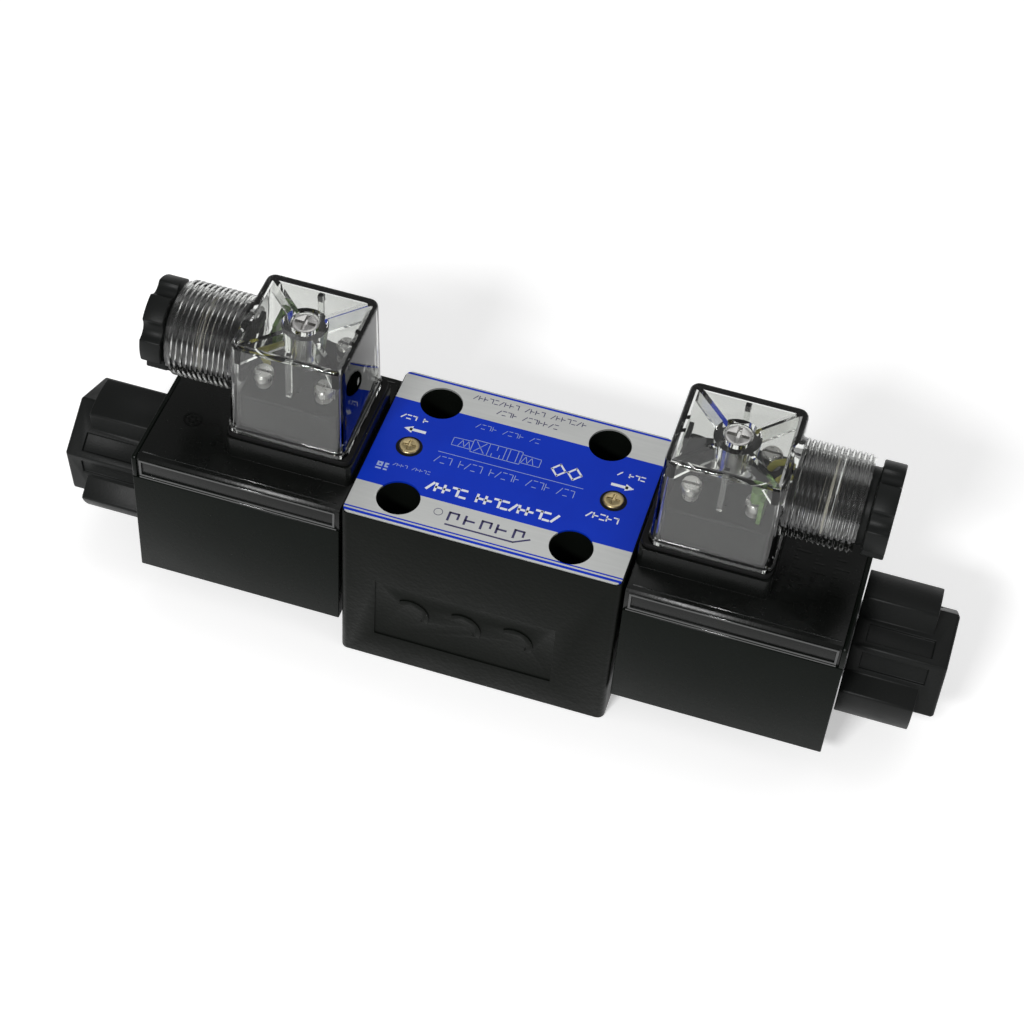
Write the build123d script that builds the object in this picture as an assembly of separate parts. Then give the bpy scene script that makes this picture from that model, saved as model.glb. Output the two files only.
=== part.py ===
from build123d import *
import os

# Solenoid directional valve, size 6, double solenoid, spring centred.  Millimetres.
# Origin: centre of the mounting face under the port pattern.  +X runs along the spool
# towards solenoid a, +Z away from the mounting face.  Side b is side a turned half a
# turn about Z.

# ---- valve body --------------------------------------------------------------------
body_length = 65.0
body_width = 46.6
body_height = 48.7
body_corner = 1.8
axis_z = 24.5                  # height of the spool, armature and coil axis

spool_bore_r = 6.5
gallery_r = 8.6
gallery_width = 3.2
chamber_r = 9.0
chamber_start = 15.9           # distance from the centre at which the spring chamber opens
thread_start = 23.0
thread_r = 10.05
seat_start = 29.9              # recess for the flange of the pole piece
seat_r = 12.1

# mounting pattern of ISO 4401-03, centred on the ports
port_r = 3.25
port_seat_r = 6.1
port_seat_depth = 1.3
ports = {"p": (0.0, 10.4), "t": (0.0, -10.4), "a": (-8.8, 0.0), "b": (8.7, 0.0)}
bolt_rows = [(-21.5, 31.0), (19.0, 32.5)]      # place along X, hole spacing along Y
bolt_hole_r = 2.75
bolt_head_r = 4.9
bolt_head_depth = 11.0

plate_thick = 0.5
plate_screw_x = 24.2
plate_screw_head_r = 2.5

# ---- moving core -------------------------------------------------------------------
stroke = 2.8
running_gap = 0.05
land_inner = 4.7
land_outer = 15.7
waist_r = 3.9
stem_r = 4.4
washer_seat = 19.0
tail_r = 3.5
tail_end = 25.0
tip_r = 2.6
spool_end = 29.5
spring_mean_r = 6.2
spring_wire_r = 0.6
spring_turns = 6

# ---- armature tube -----------------------------------------------------------------
tube_r = 9.0
tube_bore_r = 7.75
pole_start = 23.9
pole_end = 46.0
tube_start = 42.0
tube_end = 86.0
pin_r = 1.9
armature_start = 49.5
armature_end = 78.0
plug_start = 81.4
stud_r = 7.5
stud_end = 100.0
override_tip = 83.6
override_step = 93.6
override_end = 99.6
override_head_r = 3.0

# ---- coil --------------------------------------------------------------------------
coil_start = 33.2
coil_end = 83.1
coil_half_width = 22.3
coil_bottom = 9.0
yoke_top = 40.2
steel = 2.5                    # thickness of the yoke and of the end plate
deck_z = 46.8
deck_edge = 0.6                # chamfer along the edges of the deck
lip = 1.1                      # thickness of the end plate above the side plates
cavity_r = 14.45
platform_top = 52.6
platform_half = 14.4
plug_x = 49.0                  # centre of the connector along X
lock_nut_corner = {"a": 134.5, "b": 143.2}     # where each nut came to rest, degrees

# ---- connector ---------------------------------------------------------------------
housing_bottom = 54.3
housing_top = 80.3
housing_wall = 1.6
gland_z = 69.0
gland_r = 11.0
gland_bore_r = 8.8
gland_end = 78.5
gland_ring_count = 10
nut_flange = 5.0
nut_stand_off = {"a": 1.7, "b": 1.0}
cable_r = 5.2
blade_reach = 9.0
blade_places = [(0.0, blade_reach, 0.0), (0.0, -blade_reach, 0.0), (-blade_reach, 0.0, 90.0)]
free_gap = 0.3                 # clearance between pieces that part from each other


def rod(radius, x0, x1, y=0.0, z=axis_z):
    """Solid cylinder along X."""
    return Pos((x0 + x1) / 2, y, z) * Rot(0, 90, 0) * Cylinder(radius, x1 - x0)


def post(radius, z0, z1, x=0.0, y=0.0):
    """Solid cylinder along Z."""
    return Pos(x, y, (z0 + z1) / 2) * Cylinder(radius, z1 - z0)


def block(x0, x1, y0, y1, z0, z1):
    centre = Pos((x0 + x1) / 2, (y0 + y1) / 2, (z0 + z1) / 2)
    return centre * Box(x1 - x0, y1 - y0, z1 - z0)


def o_ring(mean_r, section_r, x):
    return Pos(x, 0, axis_z) * Rot(0, 90, 0) * Torus(mean_r, section_r)


def profile_yz(points, x0, x1):
    """Outline in the YZ plane, carried along X."""
    outline = make_face(Polyline(*points, close=True))
    return Pos(x0, 0, 0) * extrude(Plane.YZ * outline, x1 - x0)


def both_ends(shape):
    return [shape, Rot(0, 0, 180) * shape]


def save(name, shape):
    solids = shape.solids()
    kept = solids[0] if len(solids) == 1 else Compound(children=list(solids))
    kept.label = name
    export_step(kept, "parts/" + name + ".step")


def save_pair(name, shape):
    for side, turn in (("a", 0), ("b", 180)):
        save(name + "_" + side, Rot(0, 0, turn) * shape)


# ---- fixed centre ------------------------------------------------------------------

def cast_relief():
    """Shallow pocket on the front face with three plain raised bows in it."""
    front = -body_width / 2
    pocket_depth = 0.4
    pocket = block(-24.0, 19.0, front, front + pocket_depth, 8.6, 27.6)
    for x in (-15.5, -3.0, 9.5):
        outer = Pos(x, front + pocket_depth / 2, 19.0) * Rot(90, 0, 0) * Cylinder(4.6, pocket_depth)
        inner = Pos(x, front + pocket_depth / 2, 19.0) * Rot(90, 0, 0) * Cylinder(3.2, pocket_depth)
        crown = block(x - 2.6, x + 5, front, front + pocket_depth, 19.0, 25.0)
        leg = block(x + 1, x + 5, front, front + pocket_depth, 17.2, 19.0)
        pocket -= (outer - inner) & (crown + leg)
    return pocket


def oil_ways():
    cuts = []
    for x, y in ports.values():
        cuts.append(post(port_seat_r, 0, port_seat_depth, x, y))
    for name, top in (("a", 17.0), ("b", 17.0), ("p", 21.0), ("t", 17.0)):
        x, y = ports[name]
        cuts.append(post(port_r, 0, top, x, y))
    for x in (ports["a"][0], 0.0, ports["b"][0]):
        cuts.append(rod(gallery_r, x - gallery_width / 2, x + gallery_width / 2))
    tank_r = 2.6
    tank_z = 15.0
    riser_x = 17.0
    tank_y = ports["t"][1]
    cuts.append(rod(tank_r, -riser_x, riser_x, tank_y, tank_z))
    for x in (-riser_x, riser_x):
        cuts.append(post(tank_r, tank_z, axis_z, x, tank_y))
    return cuts


def valve_body():
    half = body_length / 2
    shape = Pos(0, 0, body_height / 2) * Box(body_length, body_width, body_height)
    shape = fillet(shape.edges().filter_by(Axis.Z), body_corner)
    cuts = [rod(spool_bore_r, -half, half)]
    cuts += both_ends(rod(chamber_r, chamber_start, half))
    cuts += both_ends(rod(thread_r, thread_start, half))
    cuts += both_ends(rod(seat_r, seat_start, half))
    cuts += oil_ways()
    for x, spacing in bolt_rows:
        for y in (-spacing / 2, spacing / 2):
            cuts.append(post(bolt_hole_r, 0, body_height, x, y))
            cuts.append(post(bolt_head_r, body_height - bolt_head_depth, body_height, x, y))
    for x in (-plate_screw_x, plate_screw_x):
        cuts.append(post(1.4, body_height - 7.0, body_height, x))
    cuts.append(cast_relief())
    for cut in cuts:
        shape -= cut
    return shape


def nameplate():
    edge = 0.3
    sheet = Rectangle(body_length - 2 * edge, body_width - 2 * edge)
    sheet = fillet(sheet.vertices(), body_corner - edge)
    for x, spacing in bolt_rows:
        for y in (-spacing / 2, spacing / 2):
            sheet -= Pos(x, y) * Circle(bolt_head_r + 0.1)
    for x in (-plate_screw_x, plate_screw_x):
        sheet -= Pos(x, 0) * Circle(plate_screw_head_r + 0.4)
    return Pos(0, 0, body_height) * extrude(sheet, plate_thick)


def nameplate_screws():
    screws = []
    for x in (-plate_screw_x, plate_screw_x):
        head = post(plate_screw_head_r, body_height, body_height + 1.1, x)
        head = fillet(head.edges().sort_by(Axis.Z)[-1], 0.5)
        cross_z = body_height + 0.7
        for length, width in ((3.0, 0.6), (0.6, 3.0)):
            head -= block(x - length / 2, x + length / 2, -width / 2, width / 2, cross_z, cross_z + 1)
        screws.append(head + post(1.4, body_height - 6.5, body_height, x))
    return Compound(children=screws)


def port_orings():
    """Four face seals, drawn squeezed flush with the mounting face."""
    section = Pos(5.0, port_seat_depth / 2) * Ellipse(1.0, port_seat_depth / 2)
    ring = revolve(Plane.XZ * section, Axis.Z)
    return Compound(children=[Pos(x, y, 0) * ring for x, y in ports.values()])


# ---- spool and springs -------------------------------------------------------------

def spool():
    land_r = spool_bore_r - running_gap
    shape = rod(waist_r, -land_inner, land_inner)
    groove_depth = 0.35
    groove_width = 0.4
    middle = (land_inner + land_outer) / 2
    for step in (-1, 1):
        land = rod(land_r, *sorted((step * land_inner, step * land_outer)))
        for offset in (-4.4, -3.5, -2.6, 2.6, 3.5, 4.4):
            x = step * middle + offset
            ring = rod(land_r + 1, x - groove_width / 2, x + groove_width / 2)
            land -= ring - rod(land_r - groove_depth, x - groove_width / 2, x + groove_width / 2)
        stem = rod(stem_r, *sorted((step * land_outer, step * washer_seat)))
        tail = rod(tail_r, *sorted((step * washer_seat, step * tail_end)))
        tip = rod(tip_r, *sorted((step * tail_end, step * spool_end)))
        shape += land + stem + tail + tip
    return shape


def spring_washer():
    thick = 1.6
    return rod(8.3, washer_seat, washer_seat + thick) - rod(tail_r + 0.05, washer_seat, washer_seat + thick)


def centering_spring():
    start = washer_seat + 1.6 + 0.15 + spring_wire_r
    end = 33.0 - 0.1 - spring_wire_r
    pitch = (end - start) / spring_turns
    path = Helix(pitch, end - start, spring_mean_r)
    wire = sweep(Plane(origin=path @ 0, z_dir=path % 0) * Circle(spring_wire_r), path)
    return Pos(start, 0, axis_z) * Rot(0, 90, 0) * wire


# ---- armature tube -----------------------------------------------------------------

def pole_piece():
    shape = rod(10.0, pole_start, seat_start) + rod(12.0, seat_start, coil_start - free_gap)
    shape += rod(tube_r, coil_start - free_gap, tube_start) + rod(tube_bore_r, tube_start, pole_end)
    shape -= rod(7.2, pole_start, 33.0)
    shape -= rod(pin_r + 0.08, 33.0, pole_end)
    groove = rod(11.0, 27.9, 29.7) - rod(8.6, 27.9, 29.7)
    return shape - groove


def guide_tube():
    return rod(tube_r, tube_start, tube_end) - rod(tube_bore_r, tube_start, tube_end)


def tube_end_plug():
    shape = rod(tube_bore_r, plug_start, tube_end) + rod(stud_r, tube_end, stud_end)
    shape -= rod(pin_r + running_gap, plug_start, 90.0)
    return shape - rod(override_head_r + running_gap, 90.0, stud_end)


def armature():
    shape = rod(tube_bore_r - running_gap, armature_start, armature_end)
    shape -= rod(pin_r, armature_start, armature_start + 6)
    for y in (-4.8, 4.8):
        shape -= rod(1.0, armature_start, armature_end, y)
    return shape


def push_pin():
    return rod(pin_r, spool_end + 0.1, armature_start + 6)


def override_pin():
    head = rod(override_head_r, override_step, override_end)
    head = fillet(head.edges().sort_by(Axis.X)[-1], 0.6)
    return head + rod(pin_r, override_tip, override_step)


# ---- coil --------------------------------------------------------------------------

def coil_yoke():
    """Steel strip bent to a U: inner cheek and two long side plates."""
    w = coil_half_width
    shape = block(coil_start, coil_end, -w, w, coil_bottom, yoke_top)
    shape -= block(coil_start + steel, coil_end, -w + steel, w - steel, 0, 60)
    shape -= rod(tube_r + free_gap, coil_start, coil_start + steel)
    return shape - rod(11.3, coil_start, coil_start + 1.7)


def deck_outline(inset):
    """Cross-section of the coil above the side plates, with its flat deck."""
    w = coil_half_width - inset
    d = w - deck_edge
    foot = yoke_top + 0.1
    return [(-w, foot), (-w, deck_z - deck_edge), (-d, deck_z), (d, deck_z), (w, deck_z - deck_edge), (w, foot)]


def coil_end_plate():
    inner = coil_half_width - steel - 0.1
    shape = block(coil_end - steel, coil_end, -inner, inner, coil_bottom, yoke_top + 0.1)
    shape += profile_yz(deck_outline(0), coil_end - lip, coil_end)
    shape -= rod(tube_r + free_gap, coil_end - steel, coil_end)
    return shape - rod(11.3, coil_end - 1.7, coil_end)


def blades(extra=0.0):
    """Three flat tabs round the centre of the connector."""
    tabs = []
    for dx, dy, turn in blade_places:
        tab = Box(6.3 + 2 * extra, 0.8 + 2 * extra, 15.0 + extra)
        tabs.append(Pos(plug_x + dx, dy, 55.0 + extra / 2) * Rot(0, 0, turn) * tab)
    return tabs


def coil_case():
    inner = coil_half_width - steel - 0.1
    shape = block(coil_start + steel + 0.1, coil_end - steel - 0.1, -inner, inner, 9.3, yoke_top + 0.1)
    shape += profile_yz(deck_outline(0.4), coil_start, coil_end - lip - 0.1)
    table = block(coil_start + 0.1, plug_x + platform_half, -platform_half, platform_half,
                  deck_z - 1, platform_top)
    table = fillet(table.edges().filter_by(Axis.Z), 1.5)
    shape += table
    shape -= rod(cavity_r, coil_start, coil_end)
    shape -= post(1.6, 45.0, platform_top, plug_x)
    for tab in blades():
        shape -= tab
    return shape


def coil_bobbin():
    x0 = coil_start + steel + 0.2
    x1 = coil_end - steel - 0.2
    shape = rod(10.1, x0, x1) + rod(14.4, x0, x0 + 1.4) + rod(14.4, x1 - 1.4, x1)
    return shape - rod(tube_r + 0.08, x0, x1)


def coil_winding():
    x0 = coil_start + steel + 1.7
    x1 = coil_end - steel - 1.7
    return rod(14.1, x0, x1) - rod(10.1, x0, x1)


def coil_seals():
    return Compound(children=[o_ring(10.15, 0.8, coil_start + 0.85), o_ring(10.15, 0.8, coil_end - 0.85)])


def lock_nut(first_corner):
    """Plastic nut: hexagonal core with grip ribs on alternate corners and a pocket in each flat."""
    start = coil_end + free_gap
    core_end = 105.2
    rib_end = 100.4
    core_r = 13.8
    core_flat = 11.95
    outline = Rot(0, 0, first_corner)
    hexagon = fillet(RegularPolygon(core_r, 6).vertices(), 0.8)
    core = extrude(outline * hexagon, core_end - start)
    core = chamfer(core.faces().sort_by(Axis.Z)[-1].outer_wire().edges(), 0.5)
    for k in range(3):
        grip = Circle(16.9) & (Rot(0, 0, 60 + 120 * k) * Pos(10, 0) * Rectangle(20, 11.4))
        rib = extrude(outline * grip, rib_end - start)
        core += fillet(rib.edges().filter_by(Axis.Z), 0.8)
        for side in (-1, 1):
            place = Rot(0, 0, first_corner + 120 * k + side * 30) * Pos(core_flat, -side * 3.1, 10.4)
            core -= place * Box(1.2, 4.4, 15.0)
    shape = Plane(origin=(start, 0, axis_z), x_dir=(0, 1, 0), z_dir=(1, 0, 0)) * core
    shape -= rod(tube_r + free_gap, start, tube_end + 0.4)
    shape -= rod(stud_r + 0.1, tube_end + 0.4, stud_end + 0.4)
    return shape - rod(4.2, stud_end + 0.4, core_end)


# ---- connector ---------------------------------------------------------------------

def tapered_box(inset, z0, z1):
    """Box with draft, centred on the connector; inset is measured from the outer skin."""
    rise = housing_top - housing_bottom
    sections = []
    for z in (z0, z1):
        t = (z - housing_bottom) / rise
        length = 27.6 - 1.2 * t - 2 * inset
        width = 27.0 - 1.6 * t - 2 * inset
        sections.append(Pos(plug_x, 0, z) * RectangleRounded(length, width, max(2.2 - inset, 0.6)))
    return loft(sections)


def connector_housing():
    shape = tapered_box(0, housing_bottom, housing_top)
    shape += rod(gland_r, plug_x + 12.0, gland_end, 0, gland_z)
    ring_pitch = 1.5
    for k in range(gland_ring_count):
        x = gland_end - 1.6 - k * ring_pitch
        if x > plug_x + 14:
            groove = rod(gland_r + 1, x, x + 0.6, 0, gland_z)
            shape -= groove - rod(gland_r - 0.45, x, x + 0.6, 0, gland_z)
    hollow = tapered_box(housing_wall, housing_bottom, housing_top - 2.0)
    boss = post(4.2, 71.0, housing_top - 2.0, plug_x)
    shape -= hollow - boss
    shape -= rod(6.6, plug_x + 8, plug_x + 15, 0, gland_z)
    shape -= rod(gland_bore_r, plug_x + 13.4, gland_end, 0, gland_z)
    shape -= post(1.7, housing_bottom, housing_top, plug_x)
    return shape - post(3.4, housing_top - 2.2, housing_top, plug_x)


def connector_gasket():
    half = 14.1
    shape = block(coil_start + 0.4, plug_x + half, -half, half, platform_top + free_gap, housing_bottom - 0.05)
    shape = fillet(shape.edges().filter_by(Axis.Z), 2.0)
    shape -= post(2.0, 50, 56, plug_x)
    for tab in blades(free_gap):
        shape -= tab
    return shape


def terminal_carrier():
    shape = block(plug_x - 10.8, plug_x + 10.8, -11.1, 11.1, housing_bottom, 66.0)
    shape = fillet(shape.edges().filter_by(Axis.Z), 1.0)
    shape -= post(1.8, 50, 70, plug_x)
    for tab in blades(free_gap):
        shape -= tab
    for dx, dy, turn in blade_places:
        shape -= post(2.2, 63.5, 66.0, plug_x + 0.85 * dx, 0.85 * dy)
    return shape


def terminal_screws():
    screws = []
    for dx, dy, turn in blade_places:
        x = plug_x + 0.85 * dx
        y = 0.85 * dy
        head = post(2.1, 63.5, 67.6, x, y)
        screws.append(head - block(x - 2.5, x + 2.5, y - 0.3, y + 0.3, 66.9, 68.0))
    return Compound(children=screws)


def led_board():
    """Indicator board standing on the carrier, with its lamp and series resistor."""
    x0 = plug_x + 6.2
    board = block(x0, x0 + 1.0, -9.5, -1.5, 66.0, 76.0)
    lamp = post(1.5, 71.0, 75.5, x0 - 1.5, -7.0)
    resistor = Pos(x0 - 1.0, -3.2, 72.0) * Cylinder(1.0, 5.0)
    return board + lamp + resistor


def connector_screw():
    head = post(3.1, housing_top - 2.2, housing_top - 0.2, plug_x)
    head = fillet(head.edges().sort_by(Axis.Z)[-1], 0.5)
    slot_z = housing_top - 1.2
    head -= block(plug_x - 2.4, plug_x + 2.4, -0.4, 0.4, slot_z, slot_z + 2)
    head -= block(plug_x - 0.4, plug_x + 0.4, -2.4, 2.4, slot_z, slot_z + 2)
    return head + post(1.45, 48.6, housing_top - 2.2, plug_x)


def cable_seal():
    shape = rod(8.5, plug_x + 13.6, 70.4, 0, gland_z)
    return shape - rod(4.2, plug_x + 13.6, 70.4, 0, gland_z)


def gland_washer():
    return rod(8.5, 70.5, 71.4, 0, gland_z) - rod(cable_r, 70.5, 71.4, 0, gland_z)


def gland_nut(stand_off):
    """Cable clamping nut: threaded neck and a six-lobed head."""
    flange_start = gland_end + stand_off
    flange_end = flange_start + nut_flange
    head = Circle(10.6)
    for k in range(6):
        head -= Rot(0, 0, 60 * k + 30) * Pos(11.6, 0) * Circle(2.6)
    head = fillet(head.vertices(), 0.7)
    turned = Plane(origin=(flange_start, 0, gland_z), x_dir=(0, 1, 0), z_dir=(1, 0, 0))
    shape = turned * extrude(head, nut_flange)
    shape += rod(gland_bore_r - 0.1, 71.5 + stand_off / 2, flange_start, 0, gland_z)
    return shape - rod(cable_r, 70, flange_end, 0, gland_z)


os.makedirs("parts", exist_ok=True)

for node in (valve_body, nameplate, nameplate_screws, port_orings, spool):
    save(node.__name__, node())

for node in (spring_washer, centering_spring, pole_piece, guide_tube, tube_end_plug, armature, push_pin,
             override_pin, coil_yoke, coil_end_plate, coil_case, coil_bobbin, coil_winding, coil_seals,
             connector_gasket, connector_housing, terminal_carrier, terminal_screws, led_board,
             connector_screw, cable_seal, gland_washer):
    save_pair(node.__name__, node())

save_pair("tube_oring", o_ring(9.3, 0.68, 28.8))
save_pair("terminal_blades", Compound(children=blades()))
for side, turn in (("a", 0), ("b", 180)):
    save("gland_nut_" + side, Rot(0, 0, turn) * gland_nut(nut_stand_off[side]))
    save("lock_nut_" + side, Rot(0, 0, turn) * lock_nut(lock_nut_corner[side]))
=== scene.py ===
import bpy
import bmesh
import math
from mathutils import Matrix, Vector


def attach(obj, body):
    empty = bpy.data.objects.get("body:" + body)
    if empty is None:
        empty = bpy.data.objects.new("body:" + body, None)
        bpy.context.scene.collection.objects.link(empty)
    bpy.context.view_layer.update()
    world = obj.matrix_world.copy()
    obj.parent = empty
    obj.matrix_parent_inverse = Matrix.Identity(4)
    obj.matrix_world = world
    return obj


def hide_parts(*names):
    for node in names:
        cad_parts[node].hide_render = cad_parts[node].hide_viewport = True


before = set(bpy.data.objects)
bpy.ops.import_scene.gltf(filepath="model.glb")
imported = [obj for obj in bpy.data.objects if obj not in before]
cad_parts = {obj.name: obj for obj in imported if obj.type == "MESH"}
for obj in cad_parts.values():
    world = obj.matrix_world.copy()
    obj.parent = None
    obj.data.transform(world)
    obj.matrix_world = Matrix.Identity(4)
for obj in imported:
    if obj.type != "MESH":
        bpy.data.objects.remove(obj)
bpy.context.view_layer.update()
mm = 0.001
sides = {"a": 0.0, "b": math.pi}      # side b is side a turned half a turn about Z
print("frame loaded with", len(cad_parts), "nodes")


# shader helpers
class Sock:
    # an output socket whose sums, products and comparisons add Math nodes
    def __init__(self, tree, socket):
        self.tree = tree
        self.socket = socket

    def calc(self, operation, *values):
        node = self.tree.nodes.new("ShaderNodeMath")
        node.operation = operation
        for target, value in zip(node.inputs, values):
            feed(self.tree, target, value)
        return Sock(self.tree, node.outputs[0])

    def __add__(self, other):
        return self.calc("ADD", self, other)

    def __radd__(self, other):
        return self.calc("ADD", other, self)

    def __sub__(self, other):
        return self.calc("SUBTRACT", self, other)

    def __rsub__(self, other):
        return self.calc("SUBTRACT", other, self)

    def __mul__(self, other):
        return self.calc("MULTIPLY", self, other)

    def __rmul__(self, other):
        return self.calc("MULTIPLY", other, self)

    def __gt__(self, other):
        return self.calc("GREATER_THAN", self, other)

    def __lt__(self, other):
        return self.calc("LESS_THAN", self, other)

    def __abs__(self):
        return self.calc("ABSOLUTE", self)


def feed(tree, target, value):
    if isinstance(value, Sock):
        tree.links.new(value.socket, target)
    else:
        target.default_value = value


class Finish:
    # a material under construction: constants go on the shader's own sockets
    def __init__(self, name, constants):
        self.material = bpy.data.materials.new(name)
        self.material.use_nodes = True
        self.tree = self.material.node_tree
        self.shader = self.tree.nodes["Principled BSDF"]
        for socket, value in constants.items():
            self.shader.inputs[socket].default_value = value
        self.place = self.node("ShaderNodeTexCoord", {}, {}, "Object")

    def node(self, kind, settings, inputs, output=0):
        node = self.tree.nodes.new(kind)
        for key, value in settings.items():
            if key == "stops":
                ramp = node.color_ramp
                ramp.elements[0].position, ramp.elements[0].color = value[0]
                ramp.elements[1].position, ramp.elements[1].color = value[-1]
                for position, colour in value[1:-1]:
                    ramp.elements.new(position).color = colour
            else:
                setattr(node, key, value)
        for key, value in inputs.items():
            feed(self.tree, node.inputs[key], value)
        return Sock(self.tree, node.outputs[output])

    def stretched(self, scale):
        return self.node("ShaderNodeMapping", {}, {"Vector": self.place, "Scale": scale})

    def noise(self, scale, detail=3.0, place=None):
        return self.node("ShaderNodeTexNoise", {},
                         {"Vector": place or self.place, "Scale": scale, "Detail": detail})

    def cells(self, scale, output="Distance"):
        return self.node("ShaderNodeTexVoronoi", {}, {"Vector": self.place, "Scale": scale}, output)

    def band(self, value, low, high, fromLow=0.0, fromHigh=1.0):
        inputs = {"Value": value, "From Min": fromLow, "From Max": fromHigh, "To Min": low, "To Max": high}
        return self.node("ShaderNodeMapRange", {}, inputs)

    def mix(self, mask, first, second):
        # the colour mix has its factor, two colours and result at these places
        return self.node("ShaderNodeMix", {"data_type": "RGBA"}, {0: mask, 6: first, 7: second}, 2)

    def axes(self):
        split = self.tree.nodes.new("ShaderNodeSeparateXYZ")
        feed(self.tree, split.inputs[0], self.place)
        return [Sock(self.tree, out) for out in split.outputs]

    def bump(self, height, distance, strength=1.0):
        relief = self.node("ShaderNodeBump", {}, {"Strength": strength, "Distance": distance, "Height": height})
        feed(self.tree, self.shader.inputs["Normal"], relief)

    def set(self, socket, value):
        feed(self.tree, self.shader.inputs[socket], value)


def rgb(red, green, blue):
    return (red, green, blue, 1.0)


# connector sizes, drawn about its own centre
plug = {
    "centre": 49.0, "low": 54.3, "high": 80.3, "halfX": 13.8, "halfY": 13.5, "leanX": 0.6, "leanY": 0.8,
    "corner": 2.2, "wall": 1.5, "roof": 1.4, "edge": 1.1, "lip": 0.35, "lipTop": 55.6,
    "bossTop": 5.3, "bossFoot": 4.3, "bossLow": 70.0, "well": 3.3, "wellLow": 78.0, "screwHole": 1.75,
    "ribHalf": 0.6, "ribLow": 74.6, "glandZ": 69.0, "glandCrest": 11.0, "glandRoot": 10.5,
    "glandBore": 8.8, "glandEnd": 29.5, "throat": 6.6, "ringPitch": 1.25, "ringCount": 12, "ringEnd": 0.4,
    "collar": 0.3, "throatStart": 12.2, "throatEnd": 13.6,
}


def ringsFrom():
    # where the gland's rings start, measured from the connector's centre
    return plug["glandEnd"] - plug["ringEnd"] - plug["ringPitch"] * plug["ringCount"]


# finishes
def mouldedFinish(name, look):
    # plastics, paints and rubber: cloudy colour, uneven gloss and a fine grain
    finish = Finish(name, {"Specular IOR Level": look.get("sheen", 0.5)})
    cloud = finish.noise(look.get("cloud", 60.0))
    finish.set("Base Color", finish.mix(cloud, rgb(*look["dark"]), rgb(*look["light"])))
    smear = finish.noise(look.get("smear", 140.0), 4.0)
    finish.set("Roughness", finish.band(smear, *look["rough"], 0.3, 0.7))
    grain = finish.noise(look.get("grain", 2500.0), 2.0)
    if "pits" in look:
        pit = finish.cells(look["pits"])
        grain = grain * 0.6 + pit * 0.8
    finish.bump(grain, look["depth"])
    return finish.material


def turnedFinish(name, look):
    # bare metals: lines run round the part, so they are drawn out along the given axis
    finish = Finish(name, {"Metallic": 1.0, **look.get("constants", {})})
    lines = finish.noise(look.get("lines", 900.0), 3.0, finish.stretched(look["stretch"]))
    cloud = finish.noise(80.0)
    finish.set("Base Color", finish.mix(lines * 0.6 + cloud * 0.4, rgb(*look["dark"]), rgb(*look["light"])))
    finish.set("Roughness", finish.band(lines, *look["rough"], 0.3, 0.7))
    finish.bump(lines, look.get("depth", 0.00001))
    return finish.material


def plateFinish():
    # aluminium sheet with a printed blue band and thin blue rules near its long edges
    plate = {"blueFront": -13.2 * mm, "blueBack": 14.0 * mm,
             "rules": [(-22.3, 0.35), (-21.3, 0.2), (22.3, 0.3)],
             "blueDark": (0.001, 0.024, 0.40), "blueLight": (0.002, 0.036, 0.50),
             "bareDark": (0.46, 0.47, 0.46), "bareLight": (0.66, 0.67, 0.66),
             "brush": 1200.0, "brushStretch": (0.06, 1.0, 1.0), "cloud": 90.0}
    finish = Finish("plateFinish", {"Specular IOR Level": 0.12})
    y = finish.axes()[1]
    blue = (y > plate["blueFront"]) * (y < plate["blueBack"])
    for centre, half in plate["rules"]:
        blue = blue + (abs(y - centre * mm) < half * mm)
    brushed = finish.noise(plate["brush"], 2.0, finish.stretched(plate["brushStretch"]))
    cloud = finish.noise(plate["cloud"])
    bare = finish.mix(brushed * 0.5 + cloud * 0.3, rgb(*plate["bareDark"]), rgb(*plate["bareLight"]))
    printed = finish.mix(cloud, rgb(*plate["blueDark"]), rgb(*plate["blueLight"]))
    finish.set("Base Color", finish.mix(blue, bare, printed))
    finish.set("Metallic", 0.55 - blue * 0.5)
    finish.set("Roughness", 0.36 + brushed * 0.12 - blue * 0.06)
    finish.bump(brushed, 0.00001)
    return finish.material


def windingFinish():
    # enamelled copper wire laid in close turns along X
    wire = {"turns": 14000.0, "cloud": 120.0, "dark": (0.35, 0.12, 0.04), "light": (0.62, 0.26, 0.1)}
    finish = Finish("windingFinish", {"Metallic": 0.9})
    turns = finish.node("ShaderNodeMath", {"operation": "SINE"}, {0: finish.axes()[0] * wire["turns"]})
    cloud = finish.noise(wire["cloud"])
    finish.set("Base Color", finish.mix(cloud, rgb(*wire["dark"]), rgb(*wire["light"])))
    finish.set("Roughness", finish.band(cloud, 0.28, 0.45))
    finish.bump(turns, 0.00004)
    return finish.material


def clearFinish(name, tint, rough):
    # clear plastic: painted shade darkens the grooves between the gland's rings against their crests, and the grooves
    # are also rougher
    finish = Finish(name, {"Transmission Weight": 1.0, "IOR": 1.49})
    haze = finish.noise(35.0, 2.0)
    ringStart = (plug["centre"] + ringsFrom()) * mm
    along = (abs(finish.axes()[0]) - ringStart) * (1 / (plug["ringPitch"] * mm))
    groovePaintedShade = (along.calc("FRACT", along) > 0.55) * (along > 0.0) * (along < plug["ringCount"] * 1.0)
    plain = finish.mix(haze, rgb(*[0.97 * c for c in tint]), rgb(*tint))
    # painted shade: the grooves take half the tint, in place of the shading and highlights that mark the rings
    finish.set("Base Color", finish.mix(groovePaintedShade, plain, rgb(*[0.5 * c for c in tint])))
    finish.set("Roughness", finish.band(haze, rough, rough + 0.03, 0.3, 0.8) + groovePaintedShade * 0.12)
    finish.bump(finish.noise(110.0, 2.0), 0.00004)
    return finish.material


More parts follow.
